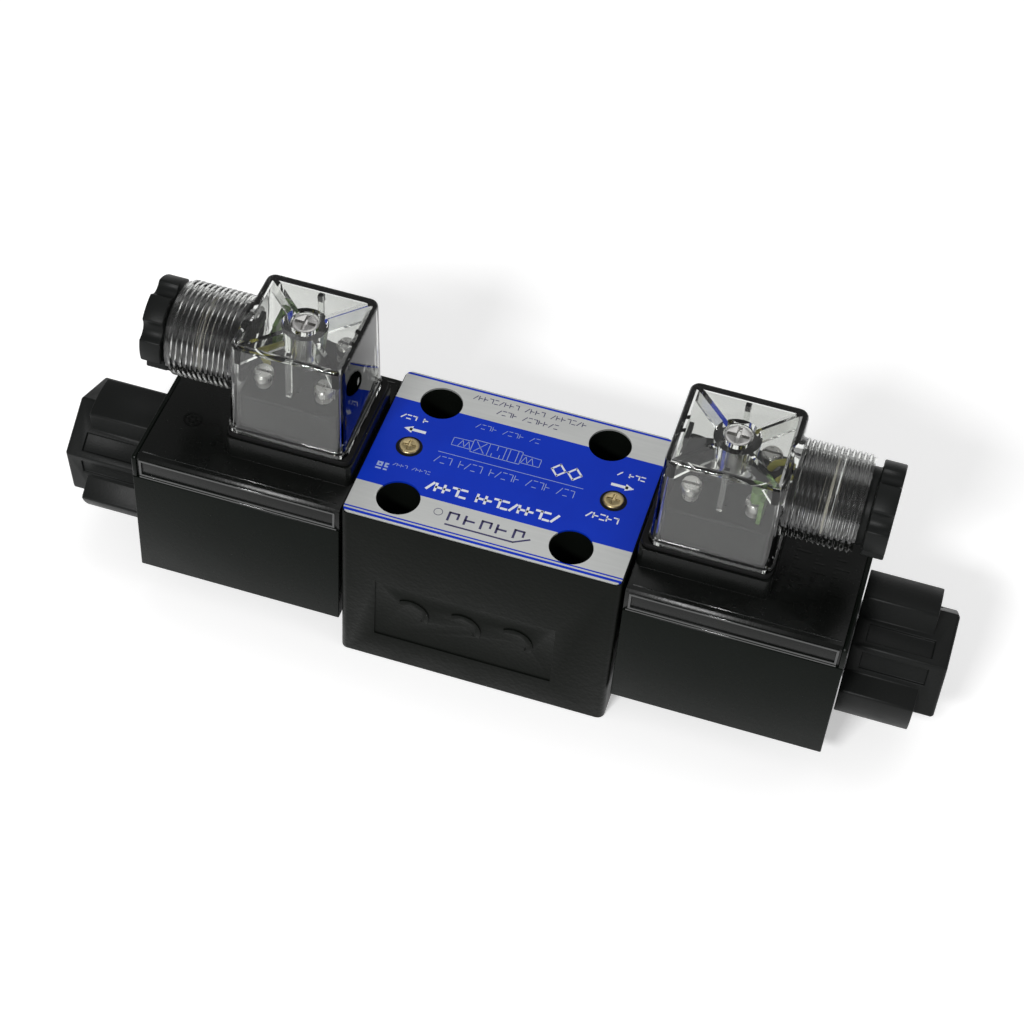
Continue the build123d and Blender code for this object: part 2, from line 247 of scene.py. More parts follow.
finishes = {
    "castBlack": mouldedFinish("castBlack", {
        "sheen": 0.07, "dark": (0.0026, 0.0034, 0.0025), "light": (0.005, 0.006, 0.0048), "rough": (0.30, 0.42),
        "grain": 1600.0, "pits": 900.0, "depth": 0.00005}),
    "yokeBlack": mouldedFinish("yokeBlack", {
        "sheen": 0.07, "dark": (0.0022, 0.0034, 0.0024), "light": (0.0045, 0.006, 0.0048), "rough": (0.22, 0.32),
        "grain": 900.0, "depth": 0.00002}),
    "coilBlack": mouldedFinish("coilBlack", {
        "sheen": 0.17, "dark": (0.0024, 0.003, 0.0025), "light": (0.006, 0.0065, 0.006), "rough": (0.2, 0.32),
        "grain": 1900.0, "depth": 0.00002}),
    "trimGloss": mouldedFinish("trimGloss", {
        "sheen": 1.0, "dark": (0.004, 0.005, 0.0045), "light": (0.008, 0.009, 0.008), "rough": (0.1, 0.2),
        "grain": 1900.0, "depth": 0.00001}),
    "nutBlack": mouldedFinish("nutBlack", {
        "sheen": 0.14, "dark": (0.0045, 0.005, 0.0047), "light": (0.008, 0.009, 0.0085), "rough": (0.38, 0.5),
        "grain": 2600.0, "depth": 0.00003}),
    "rubberBlack": mouldedFinish("rubberBlack", {
        "sheen": 0.12, "dark": (0.003, 0.003, 0.003), "light": (0.006, 0.006, 0.006), "rough": (0.5, 0.65),
        "grain": 3000.0, "depth": 0.00003}),
    "carrierGrey": mouldedFinish("carrierGrey", {
        "sheen": 0.12, "dark": (0.008, 0.009, 0.0085), "light": (0.014, 0.015, 0.0145), "rough": (0.4, 0.55),
        "grain": 2400.0, "depth": 0.00003}),
    "bobbinNylon": mouldedFinish("bobbinNylon", {
        "dark": (0.42, 0.39, 0.32), "light": (0.55, 0.52, 0.44), "rough": (0.45, 0.6),
        "grain": 2400.0, "depth": 0.00003}),
    "boardGreen": mouldedFinish("boardGreen", {
        "dark": (0.10, 0.20, 0.05), "light": (0.17, 0.28, 0.08), "rough": (0.35, 0.5),
        "grain": 2400.0, "depth": 0.00002}),
    "brightSteel": turnedFinish("brightSteel", {
        "dark": (0.40, 0.40, 0.41), "light": (0.66, 0.66, 0.67), "rough": (0.2, 0.38),
        "stretch": (1.0, 0.05, 0.05)}),
    "groundSteel": turnedFinish("groundSteel", {
        "dark": (0.20, 0.20, 0.21), "light": (0.42, 0.42, 0.43), "rough": (0.18, 0.34),
        "stretch": (1.0, 0.04, 0.04)}),
    "springSteel": turnedFinish("springSteel", {
        "dark": (0.22, 0.22, 0.23), "light": (0.45, 0.45, 0.46), "rough": (0.25, 0.4),
        "stretch": (1.0, 1.0, 1.0)}),
    "nickel": turnedFinish("nickel", {
        "dark": (0.36, 0.36, 0.35), "light": (0.62, 0.61, 0.60), "rough": (0.22, 0.38),
        "stretch": (1.0, 1.0, 0.1)}),
    "yellowZinc": turnedFinish("yellowZinc", {
        "dark": (0.24, 0.18, 0.08), "light": (0.58, 0.48, 0.28), "rough": (0.28, 0.44),
        "stretch": (1.0, 1.0, 0.2)}),
    "wireYellow": mouldedFinish("wireYellow", {
        "dark": (0.36, 0.33, 0.04), "light": (0.5, 0.47, 0.1), "rough": (0.35, 0.5),
        "grain": 2400.0, "depth": 0.00002}),
    "inkWhite": mouldedFinish("inkWhite", {
        "dark": (0.62, 0.64, 0.68), "light": (0.78, 0.8, 0.84), "rough": (0.4, 0.5),
        "grain": 2400.0, "depth": 0.00001}),
    "inkPale": mouldedFinish("inkPale", {
        "dark": (0.20, 0.27, 0.50), "light": (0.34, 0.42, 0.66), "rough": (0.4, 0.5),
        "grain": 2400.0, "depth": 0.00001}),
    "inkDark": mouldedFinish("inkDark", {
        "dark": (0.015, 0.012, 0.07), "light": (0.03, 0.025, 0.11), "rough": (0.4, 0.5),
        "grain": 2400.0, "depth": 0.00001}),
    "plate": plateFinish(),
    "winding": windingFinish(),
    "clearShell": clearFinish("clearShell", (0.90, 0.91, 0.89), 0.01),
}

nodeFinish = {
    "valve_body": "castBlack", "nameplate": "plate", "nameplate_screws": "yellowZinc",
    "port_orings": "rubberBlack", "spool": "groundSteel", "spring_washer": "brightSteel",
    "centering_spring": "springSteel", "pole_piece": "brightSteel", "guide_tube": "brightSteel",
    "tube_end_plug": "brightSteel", "tube_oring": "rubberBlack", "armature": "brightSteel",
    "push_pin": "groundSteel", "override_pin": "brightSteel", "coil_yoke": "yokeBlack",
    "coil_end_plate": "yokeBlack", "coil_case": "coilBlack", "coil_bobbin": "bobbinNylon",
    "coil_winding": "winding", "coil_seals": "rubberBlack", "terminal_blades": "nickel",
    "lock_nut": "nutBlack", "connector_gasket": "rubberBlack", "connector_housing": "clearShell",
    "terminal_carrier": "carrierGrey", "terminal_screws": "nickel", "led_board": "boardGreen",
    "connector_screw": "nickel", "cable_seal": "rubberBlack", "gland_washer": "bobbinNylon",
    "gland_nut": "nutBlack",
}
for name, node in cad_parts.items():
    key = name if name in nodeFinish else name[:-2]
    node.data.materials.clear()
    node.data.materials.append(finishes[nodeFinish[key]])
print("finishes made:", len(finishes))


# modelling helpers: everything is drawn in millimetres and scaled when it is placed
def slab(bm, low, high, spin=0.0):
    low = Vector(low)
    high = Vector(high)
    size = high - low
    place = Matrix.Rotation(spin, 4, "Z") @ Matrix.Translation((low + high) / 2) @ Matrix.Diagonal((*size, 1.0))
    bmesh.ops.create_cube(bm, size=1.0, matrix=place)


def pillar(bm, radius, low, high, spot=(0.0, 0.0), taper=1.0, steps=48):
    place = Matrix.Translation((spot[0], spot[1], (low + high) / 2))
    bmesh.ops.create_cone(bm, cap_ends=True, segments=steps, radius1=radius * taper, radius2=radius,
                          depth=high - low, matrix=place)


def lathe(bm, outline, centre, axis, steps=72):
    # a closed outline carried once round the axis
    verts = [bm.verts.new(point) for point in outline]
    edges = [bm.edges.new(pair) for pair in zip(verts, verts[1:] + verts[:1])]
    bmesh.ops.spin(bm, geom=verts + edges, cent=centre, axis=axis, angle=math.tau, steps=steps, use_merge=True)
    bmesh.ops.remove_doubles(bm, verts=bm.verts[:], dist=0.0005)


def roundedLoop(halfX, halfY, radius, z):
    points = []
    for quadrant, (sx, sy) in enumerate([(1, 1), (-1, 1), (-1, -1), (1, -1)]):
        for step in range(6):
            angle = math.radians(90 * quadrant + 18 * step)
            points.append((sx * (halfX - radius) + radius * math.cos(angle),
                           sy * (halfY - radius) + radius * math.sin(angle), z))
    return points


def stackLoops(bm, loops):
    # skin over a pile of matching loops, closed at both ends
    rings = [[bm.verts.new(point) for point in loop] for loop in loops]
    for ring, following in zip(rings, rings[1:]):
        for k in range(len(ring)):
            after = (k + 1) % len(ring)
            bm.faces.new((ring[k], ring[after], following[after], following[k]))
    bm.faces.new(rings[0][::-1])
    bm.faces.new(rings[-1])


def combine(base, other, operation):
    holders = []
    for bm in (base, other):
        bmesh.ops.recalc_face_normals(bm, faces=bm.faces[:])
        mesh = bpy.data.meshes.new("working")
        bm.to_mesh(mesh)
        bm.free()
        holder = bpy.data.objects.new("working", mesh)
        bpy.context.scene.collection.objects.link(holder)
        holders.append(holder)
    cut = holders[0].modifiers.new("cut", "BOOLEAN")
    cut.operation = operation
    cut.object = holders[1]
    cut.solver = "EXACT"
    bpy.context.view_layer.update()
    shown = holders[0].evaluated_get(bpy.context.evaluated_depsgraph_get())
    result = bmesh.new()
    result.from_mesh(shown.to_mesh())
    shown.to_mesh_clear()
    for holder in holders:
        bpy.data.meshes.remove(holder.data)
    return result


def softened(node, width, sharp=32.0, segments=2):
    # a welded copy of a CAD node with its sharp edges broken
    bm = bmesh.new()
    bm.from_mesh(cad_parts[node].data)
    bm.transform(Matrix.Scale(1 / mm, 4))
    bmesh.ops.remove_doubles(bm, verts=bm.verts[:], dist=0.002)
    bmesh.ops.dissolve_limit(bm, angle_limit=math.radians(0.8), verts=bm.verts[:], edges=bm.edges[:])
    bmesh.ops.recalc_face_normals(bm, faces=bm.faces[:])
    limit = math.radians(sharp)
    edges = [edge for edge in bm.edges if len(edge.link_faces) == 2 and edge.calc_face_angle(0.0) > limit]
    bmesh.ops.bevel(bm, geom=edges, offset=width, offset_type="OFFSET", segments=segments, profile=0.5,
                    affect="EDGES", clamp_overlap=True, material=-1)
    return bm


def makePiece(name, bm, finish, body, replaced=(), place=None, sharp=40.0):
    bmesh.ops.remove_doubles(bm, verts=bm.verts[:], dist=0.0005)
    bmesh.ops.recalc_face_normals(bm, faces=bm.faces[:])
    bm.transform(Matrix.Scale(mm, 4) @ (place or Matrix.Identity(4)))
    mesh = bpy.data.meshes.new(name)
    bm.to_mesh(mesh)
    bm.free()
    mesh.shade_smooth()
    mesh.set_sharp_from_angle(angle=math.radians(sharp))
    mesh.materials.append(finishes[finish])
    piece = bpy.data.objects.new(name, mesh)
    bpy.context.scene.collection.objects.link(piece)
    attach(piece, body)
    if replaced:
        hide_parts(*replaced)
    return piece


# hard parts taken over from the CAD with broken edges
def softenParts():
    single = {"valve_body": (0.45, "castBlack", "valve", "cast_black")}
    paired = {
        "coil_yoke": (0.4, "yokeBlack", "coil", "yoke_black"),
        "coil_end_plate": (0.25, "yokeBlack", "coil", "yoke_black"),
        "coil_case": (0.3, "coilBlack", "coil", "coil_plastic"),
        "lock_nut": (0.35, "nutBlack", "lock_nut", "nut_plastic"),
        "gland_nut": (0.35, "nutBlack", "gland_nut", "nut_plastic"),
        "connector_gasket": (0.3, "rubberBlack", "plug", "seal_rubber"),
        "connector_screw": (0.15, "nickel", "plug", "tinned_metal"),
    }
    for node, (width, finish, body, slotName) in single.items():
        makePiece(node + "_soft", softened(node, width), finish, body, [node])
    for part, (width, finish, body, slotName) in paired.items():
        for side in sides:
            node = part + "_" + side
            makePiece(node + "_soft", softened(node, width), finish, body + "_" + side, [node])


# connector: drawn about its own centre, then carried out to each coil
def plugLoop(z, inset):
    rise = (z - plug["low"]) / (plug["high"] - plug["low"])
    halfX = plug["halfX"] - plug["leanX"] * rise - inset
    halfY = plug["halfY"] - plug["leanY"] * rise - inset
    return roundedLoop(halfX, halfY, max(plug["corner"] - inset, 0.6), z)


def plugShell():
    top = plug["high"]
    edge = plug["edge"]
    ceiling = top - plug["roof"]
    bm = bmesh.new()
    outer = [plugLoop(plug["low"], -plug["lip"]), plugLoop(plug["lipTop"] - 0.2, -plug["lip"]),
             plugLoop(plug["lipTop"] + 0.2, 0.0)]
    for step in range(5):
        angle = math.radians(22.5 * step)
        outer.append(plugLoop(top - edge + edge * math.sin(angle), edge * (1 - math.cos(angle))))
    inner = [plugLoop(ceiling, plug["wall"] + 0.5), plugLoop(ceiling - 0.5, plug["wall"]),
             plugLoop(plug["low"], plug["wall"])]
    stackLoops(bm, inner + outer)
    return bm


def glandTube():
    # ribbed outside, plain bore inside, and a narrower throat where it meets the housing
    crest, root, end = plug["glandCrest"], plug["glandRoot"], plug["glandEnd"]
    pitch, throat, bore = plug["ringPitch"], plug["throat"], plug["glandBore"]
    start = ringsFrom()
    outline = [(plug["throatStart"], throat), (plug["throatStart"], crest + plug["collar"]),
               (start - 1.2, crest + plug["collar"]), (start - 0.5, crest)]
    oneRing = ((0.05, crest - 0.1), (0.15, crest), (0.5, crest), (0.6, crest - 0.1), (0.7, root), (0.95, root))
    for ring in range(plug["ringCount"]):
        outline += [(start + pitch * (ring + share), radius) for share, radius in oneRing]
    outline += [(end, root), (end, bore), (plug["throatEnd"], bore), (plug["throatEnd"], throat)]
    bm = bmesh.new()
    lathe(bm, [(x, 0.0, plug["glandZ"] + r) for x, r in outline], (0, 0, plug["glandZ"]), (1, 0, 0), 96)
    return bm


def clearHousing():
    # the shell with its screw boss, corner ribs, hanging tongues and gland, then bored out
    ribs = {"turns": (45, 135, 225, 315), "near": 4.9, "far": 16.9}
    tongues = (((-0.6, -10.4), (0.6, -9.4), 67.2), ((-12.9, -2.6), (-11.0, -1.4), 67.5),
               ((-12.9, 1.4), (-11.0, 2.6), 67.5), ((-0.6, 9.4), (0.6, 10.4), 67.2))
    ceiling = plug["high"] - plug["roof"] + 0.6
    boss = bmesh.new()
    pillar(boss, plug["bossTop"], plug["bossLow"], ceiling, taper=plug["bossFoot"] / plug["bossTop"], steps=64)
    shell = combine(plugShell(), boss, "UNION")
    extras = bmesh.new()
    for turn in ribs["turns"]:
        slab(extras, (ribs["near"], -plug["ribHalf"], plug["ribLow"]), (ribs["far"], plug["ribHalf"], ceiling),
             math.radians(turn))
    for near, far, foot in tongues:
        slab(extras, (*near, foot), (*far, ceiling))
    shell = combine(shell, extras, "UNION")
    shell = combine(shell, glandTube(), "UNION")
    holes = bmesh.new()
    pillar(holes, plug["well"], plug["wellLow"], plug["high"] + 1, steps=64)
    shell = combine(shell, holes, "DIFFERENCE")
    bore = bmesh.new()
    pillar(bore, plug["screwHole"], plug["bossLow"] - 2, plug["high"] + 1, steps=48)
    shell = combine(shell, bore, "DIFFERENCE")
    throat = bmesh.new()
    bmesh.ops.create_cone(throat, cap_ends=True, segments=64, radius1=plug["throat"], radius2=plug["throat"],
                          depth=4.0, matrix=Matrix.Translation((12.0, 0, plug["glandZ"]))
                          @ Matrix.Rotation(math.pi / 2, 4, "Y"))
    return combine(shell, throat, "DIFFERENCE")


def terminalBlock():
    block = {
        "half": 11.5, "corner": 1.4, "low": 54.5, "top": 65.0, "chamfer": 0.4,
        "tower": 3.4, "towerCorner": 0.8, "towerTop": 66.6, "towerChamfer": 0.3, "post": 3.9, "postTop": 69.6,
        "rules": ((56.0, -7.5, 9.0), (57.6, -9.0, 6.0), (59.4, -8.0, 9.0), (62.2, -9.0, 2.0)),
        "ruleProud": 0.14, "ruleWidth": 0.3,
        "slotAt": 9.0, "slotHalf": 3.4, "slotWall": 0.65, "slotTop": 63.4,
    }
    half, corner, low, top, chamfer = (block[key] for key in ("half", "corner", "low", "top", "chamfer"))
    bm = bmesh.new()
    stackLoops(bm, [roundedLoop(half, half, corner, low), roundedLoop(half, half, corner, top - chamfer),
                    roundedLoop(half - chamfer, half - chamfer, corner, top)])
    # a square tower under each clamp screw and a round post under the fixing screw
    for x, y in clamps["spots"]:
        tower = []
        for inset, z in ((0.0, top - 0.5), (0.0, block["towerTop"]), (block["towerChamfer"],
                                                                      block["towerTop"] + block["towerChamfer"])):
            width = block["tower"] - inset
            tower.append(roundedLoop(width, width, block["towerCorner"], z))
        stackLoops(bm, [[(px + x, py + y, pz) for px, py, pz in loop] for loop in tower])
    pillar(bm, block["post"], top - 0.5, block["postTop"], steps=48)
    # ledge between the front towers, and a raised arrow behind it
    slab(bm, (-6.0, -10.6, top - 0.2), (6.0, -9.8, top + 0.9))
    slab(bm, (-0.25, -9.0, top - 0.2), (0.25, -5.4, top + 0.15))
    for way in (-1, 1):
        slab(bm, (-0.25 + way * 0.8, -6.9, top - 0.2), (0.25 + way * 0.8, -5.6, top + 0.15))
    # ruled lines on the front and back walls
    for z, x0, x1 in block["rules"]:
        slab(bm, (x0, -half - block["ruleProud"], z), (x1, -half + 0.2, z + block["ruleWidth"]))
        slab(bm, (-x1, half - 0.2, z), (-x0, half + block["ruleProud"], z + block["ruleWidth"]))
    # dark latch bars beside the inner and back walls, each on its stem
    slab(bm, (-10.9, -2.4, 75.0), (-9.9, 2.4, 77.2))
    slab(bm, (-10.7, -0.6, top - 0.4), (-10.1, 0.6, 75.2))
    slab(bm, (-0.6, 10.4, 76.6), (0.6, 11.0, 78.5))
    slab(bm, (-0.3, 10.4, top - 0.4), (0.3, 10.8, 77.0))
    # slots from below for the four blades of the coil
    slots = bmesh.new()
    long, wall = block["slotHalf"], block["slotWall"]
    for at in (block["slotAt"], -block["slotAt"]):
        slab(slots, (-long, at - wall, low - 1.0), (long, at + wall, block["slotTop"]))
        slab(slots, (at - wall, -long, low - 1.0), (at + wall, long, block["slotTop"]))
    return combine(bm, slots, "DIFFERENCE")


clamps = {"spots": ((-6.9, -7.2), (6.9, -7.2), (6.9, 7.2)), "core": 1.45, "thread": 1.85, "head": 2.15,
          "foot": 65.6, "pitch": 0.62, "turns": 3, "headLow": 67.8, "headTop": 69.5, "slotHalf": 0.3, "slotDeep": 0.8}


def clampScrews():
    # slotted screws standing in their towers, with a few turns of thread showing
    bm = bmesh.new()
    for x, y in clamps["spots"]:
        outline = [(0.0, clamps["foot"]), (clamps["core"], clamps["foot"])]
        for turn in range(clamps["turns"]):
            z = clamps["foot"] + 0.15 + clamps["pitch"] * turn
            outline += [(clamps["thread"], z + 0.15), (clamps["thread"], z + 0.3), (clamps["core"], z + 0.5)]
        outline += [(clamps["core"], clamps["headLow"]), (clamps["head"], clamps["headLow"]),
                    (clamps["head"], clamps["headTop"] - 0.4), (clamps["head"] - 0.4, clamps["headTop"]),
                    (0.0, clamps["headTop"])]
        one = bmesh.new()
        lathe(one, [(x + r, y, z) for r, z in outline], (x, y, 0), (0, 0, 1), 40)
        groovePaintedShade = bmesh.new()
        slab(groovePaintedShade, (x - 3, y - clamps["slotHalf"], clamps["headTop"] - clamps["slotDeep"]),
             (x + 3, y + clamps["slotHalf"], clamps["headTop"] + 1))
        one = combine(one, groovePaintedShade, "DIFFERENCE")
        mesh = bpy.data.meshes.new("clamp")
        one.to_mesh(mesh)
        one.free()
        bm.from_mesh(mesh)
        bpy.data.meshes.remove(mesh)
    return bm


def bentWire(bm, path, radius, steps=14):
    # round wire along a list of points
    loops = []
    for k, point in enumerate(path):
        before = Vector(path[max(k - 1, 0)])
        after = Vector(path[min(k + 1, len(path) - 1)])
        turn = (after - before).to_track_quat("Z", "Y").to_matrix()
        loops.append([Vector(point) + turn @ Vector((radius * math.cos(math.tau * s / steps),
                                                      radius * math.sin(math.tau * s / steps), 0.0))
                      for s in range(steps)])
    stackLoops(bm, loops)


def lampWires():
    # two cores run from the gland throat to the clamps, each on one smooth bow
    wires = {"runs": (((11.4, 2.2, 69.5), (6.9, -4.2, 67.6)), ((11.4, 3.6, 71.5), (7.2, 4.2, 67.8))),
             "bow": 3.2, "sag": 0.5, "steps": 12, "radius": 0.75}
    bm = bmesh.new()
    for start, end in wires["runs"]:
        a, b = Vector(start), Vector(end)
        middle = Vector((a.x - wires["bow"], (a.y + b.y) / 2, a.z - wires["sag"]))
        path = []
        for step in range(wires["steps"] + 1):
            t = step / wires["steps"]
            path.append((a * (1 - t) ** 2 + middle * 2 * t * (1 - t) + b * t * t)[:])
        bentWire(bm, path, wires["radius"])
    return bm


def lampBoard():
    # small upright board with a lamp and a resistor, on the gland side of the carrier
    board = {"sheet": ((8.0, -9.8, 65.5), (8.9, -3.4, 72.5)), "resistor": ((6.9, -6.6, 68.6), (8.1, -4.2, 70.0)),
             "lampSpot": (7.0, -8.3), "lampRadius": 1.3, "lampLow": 71.0, "lampTop": 74.0}
    bm = bmesh.new()
    slab(bm, *board["sheet"])
    pillar(bm, board["lampRadius"], board["lampLow"], board["lampTop"], board["lampSpot"], steps=24)
    slab(bm, *board["resistor"])
    return bm


def buildPlugs():
    # the carrier and its clamps face the same way on both sides; the rest turns with its gland
    shell = clearHousing()
    outward = plug["centre"]
    for side, turn in sides.items():
        turned = Matrix.Rotation(turn, 4, "Z") @ Matrix.Translation((outward, 0, 0))
        straight = Matrix.Translation((outward if side == "a" else -outward, 0, 0))
        body = "plug_" + side
        makePiece("clear_housing_" + side, shell.copy(), "clearShell", body,
                  ["connector_housing_" + side], turned, 30.0)
        makePiece("carrier_" + side, terminalBlock(), "carrierGrey", body,
                  ["terminal_carrier_" + side], straight)
        makePiece("clamp_screws_" + side, clampScrews(), "nickel", body,
                  ["terminal_screws_" + side], straight)
        makePiece("lamp_board_" + side, lampBoard(), "boardGreen", body,
                  ["led_board_" + side], turned)
        makePiece("wires_" + side, lampWires(), "wireYellow", body, [], turned)
    shell.free()


# coil trim: raised rim round the band above the side plates, line along the deck, marks
def coilTrim():
    trim = {"x0": 34.2, "x1": 81.4, "low": 41.0, "high": 46.0, "face": 21.9, "rim": 0.55, "proud": 0.3, "sunk": 0.3,
            "deck": 46.8, "line": 20.1, "lineHalf": 0.18, "lineProud": 0.12, "lineFrom": 34.4, "lineTo": 81.2,
            "beadNear": 21.8, "beadFar": 22.25, "beadLow": 40.35, "beadHigh": 40.8, "bevel": 0.06, "sharp": 0.6}
    bm = bmesh.new()
    x0, x1, low, high, rim = trim["x0"], trim["x1"], trim["low"], trim["high"], trim["rim"]
    for way in (-1, 1):
        # rim: a rectangular frame
        y0, y1 = sorted((way * (trim["face"] - trim["sunk"]), way * (trim["face"] + trim["proud"])))
        outer = [(x0, low), (x1, low), (x1, high), (x0, high)]
        inner = [(x0 + rim, low + rim), (x1 - rim, low + rim), (x1 - rim, high - rim), (x0 + rim, high - rim)]
        front = [[bm.verts.new((x, y0, z)) for x, z in loop] for loop in (outer, inner)]
        back = [[bm.verts.new((x, y1, z)) for x, z in loop] for loop in (outer, inner)]
        for k in range(4):
            n = (k + 1) % 4
            bm.faces.new((front[0][k], front[0][n], front[1][n], front[1][k]))
            bm.faces.new((back[0][k], back[0][n], back[1][n], back[1][k]))
            bm.faces.new((front[0][k], front[0][n], back[0][n], back[0][k]))
            bm.faces.new((front[1][k], front[1][n], back[1][n], back[1][k]))
        # bead under the rim, and the line along the deck
        y0, y1 = sorted((way * trim["beadNear"], way * trim["beadFar"]))
        slab(bm, (x0 - 0.4, y0, trim["beadLow"]), (x1, y1, trim["beadHigh"]))
        y = way * trim["line"]
        slab(bm, (trim["lineFrom"], y - trim["lineHalf"], trim["deck"] - 0.1),
             (trim["lineTo"], y + trim["lineHalf"], trim["deck"] + trim["lineProud"]))
    bmesh.ops.recalc_face_normals(bm, faces=bm.faces[:])
    edges = [edge for edge in bm.edges if edge.calc_face_angle(0.0) > trim["sharp"]]
    bmesh.ops.bevel(bm, geom=edges, offset=trim["bevel"], offset_type="OFFSET", segments=1, profile=0.5,
                    affect="EDGES", clamp_overlap=True, material=-1)
    return bm


def deckMarks(side):
    # faint raised marks moulded into the deck: a ring on one coil, a plain panel of strokes on the other
    marks = {"deck": 46.8, "proud": 0.1, "ringX": -74.4, "ringY": -6.8, "ringInner": 1.7, "ringOuter": 2.2,
             "dots": 6, "dotHalf": 0.25, "dotCircle": 0.9, "rows": 7, "columns": 3, "panelX": 66.4, "panelY": -13.5,
             "pitchX": 4.6, "pitchY": 2.6}
    low, high = marks["deck"] - 0.1, marks["deck"] + marks["proud"]
    bm = bmesh.new()
    if side == "b":
        x0, y0, inner, outer = (marks[key] for key in ("ringX", "ringY", "ringInner", "ringOuter"))
        lathe(bm, [(x0 + r, y0, z) for r, z in ((inner, low), (outer, low), (outer, high), (inner, high))],
              (x0, y0, 0), (0, 0, 1), 40)
        half = marks["dotHalf"]
        for k in range(marks["dots"]):
            angle = math.tau * k / marks["dots"]
            x = x0 + marks["dotCircle"] * math.cos(angle)
            y = y0 + marks["dotCircle"] * math.sin(angle)
            slab(bm, (x - half, y - half, low), (x + half, y + half, high))
    else:
        for row in range(marks["rows"]):
            for column in range(marks["columns"]):
                x = marks["panelX"] + marks["pitchX"] * column
                y = marks["panelY"] + marks["pitchY"] * row
                length = 3.4 - 1.1 * ((row + 2 * column) % 3)
                slab(bm, (x, y, low), (x + length, y + 0.5, high))
                slab(bm, (x, y + 0.9, low), (x + 0.6, y + 1.5, high))
    return bm


def buildCoilTrim():
    for side, turn in sides.items():
        turned = Matrix.Rotation(turn, 4, "Z")
        makePiece("coil_trim_" + side, coilTrim(), "trimGloss", "coil_" + side, [], turned)
        makePiece("deck_marks_" + side, deckMarks(side), "coilBlack", "coil_" + side)


# nameplate print: plain strokes, bars and arrows, no lettering
ink = {"low": 49.2, "high": 49.23, "sunk": 0.02, "overrun": 0.6, "arrowLength": 2.0, "arrowHalf": 1.05,
       "arrowShaft": 1.6, "markFill": 0.33}


def stroke(bm, x0, y0, x1, y1, width):
    run = Vector((x1 - x0, y1 - y0, 0.0))
    spin = math.atan2(run.y, run.x)
    middle = Vector(((x0 + x1) / 2, (y0 + y1) / 2, (ink["low"] + ink["high"]) / 2 - ink["sunk"]))
    size = (run.length + width * ink["overrun"], width, ink["high"] - ink["low"] + 2 * ink["sunk"], 1.0)
    place = Matrix.Translation(middle) @ Matrix.Rotation(spin, 4, "Z") @ Matrix.Diagonal(size)
    bmesh.ops.create_cube(bm, size=1.0, matrix=place)


def strokeRow(bm, x0, x1, y, height, pitch, width, gaps=(), seed=3):
    # an abstract row of small upright, slanted and level strokes
    count = int((x1 - x0) / pitch)
    for k in range(count):
        if k in gaps:
            continue
        x = x0 + pitch * (k + 0.5)
        half = pitch * ink["markFill"]
        kind = (k * seed + 1) % 5
        if kind in (0, 3):
            stroke(bm, x - half, y - height / 2, x - half, y + height / 2, width)
            stroke(bm, x - half, y, x + half, y, width)
        elif kind == 1:
            stroke(bm, x - half, y - height / 2, x + half, y + height / 2, width)
        elif kind == 2:
            stroke(bm, x + half, y - height / 2, x + half, y + height / 2, width)
            stroke(bm, x - half, y + height / 2, x + half, y + height / 2, width)
        else:
            stroke(bm, x - half, y - height / 2, x + half, y - height / 2, width)
            stroke(bm, x - half, y + height / 2, x + half, y + height / 2, width)


def arrow(bm, tail, tip, y, width):
    way = 1 if tip > tail else -1
    stroke(bm, tail, y, tip - way * ink["arrowShaft"], y, width)
    heel = tip - way * ink["arrowLength"]
    corners = [(tip, y), (heel, y + ink["arrowHalf"]), (heel, y - ink["arrowHalf"])]
    low = [bm.verts.new((px, py, ink["low"] - ink["sunk"])) for px, py in corners]
    high = [bm.verts.new((px, py, ink["high"])) for px, py in corners]
    bm.faces.new(low[::-1])
    bm.faces.new(high)
    for k in range(3):
        n = (k + 1) % 3
        bm.faces.new((low[k], low[n], high[n], high[k]))


def whitePrint():
    # arrows towards the coils, rows of strokes, and two plain diamonds that stand for nothing
    arrows = ((-22.2, -27.2, 5.3, 0.8), (22.6, 27.7, 4.8, 0.8))
    # each row: from, to, height above the middle, size, pitch, width, gaps, pattern
    rows = ((-29.2, -22.4, 8.8, 1.1, 1.35, 0.3, (3,), 3), (22.8, 29.9, 8.5, 1.1, 1.35, 0.3, (1,), 2),
            (19.3, 27.2, -5.6, 1.5, 1.55, 0.34, (), 4), (-16.9, 14.7, -9.6, 2.2, 1.95, 0.6, (5,), 7))
    diamond = {"centres": (10.0, 13.8), "y": 4.7, "halfX": 1.6, "halfY": 1.8, "width": 0.45}
    bm = bmesh.new()
    for one in arrows:
        arrow(bm, *one)
    for row in rows:
        strokeRow(bm, *row)
    for x in diamond["centres"]:
        y, halfX, halfY = diamond["y"], diamond["halfX"], diamond["halfY"]
        corners = ((x + halfX, y), (x, y + halfY), (x - halfX, y), (x, y - halfY))
        for start, end in zip(corners, corners[1:] + corners[:1]):
            stroke(bm, *start, *end, diamond["width"])
    return bm


